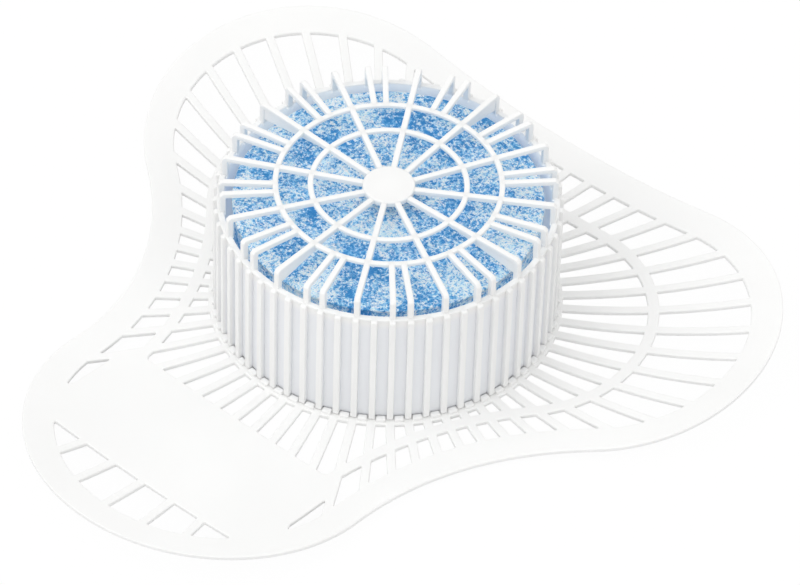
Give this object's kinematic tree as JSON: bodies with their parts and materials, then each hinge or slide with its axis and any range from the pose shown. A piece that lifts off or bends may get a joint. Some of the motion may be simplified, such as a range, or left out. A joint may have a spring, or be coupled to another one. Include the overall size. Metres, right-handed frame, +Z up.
{
  "type": "urinal deodorizer screen",
  "caption": "Flexible three-lobed drain mat of radial bars with a ribbed round cage on its middle that holds a scented block.",
  "frame": {"origin": "on the cage's axis, at the flat underside of the mat", "axes": "+Z up along the cage's axis, -Y towards the tip of the longest lobe, the one with the bare plate, +X to the right of it"},
  "size_m": [0.1958, 0.1954, 0.0433],
  "materials": {
    "screen_plastic": "smooth soft vinyl, faint sheen",
    "cage_plastic": "smooth moulded plastic, faint sheen",
    "scented_block": "pressed waxy block, matt and mottled"
  },
  "bodies": {
    "root": {"screen": "screen_plastic", "cage": "cage_plastic", "deodorizer_block": "scented_block"}
  },
  "joints": []
}
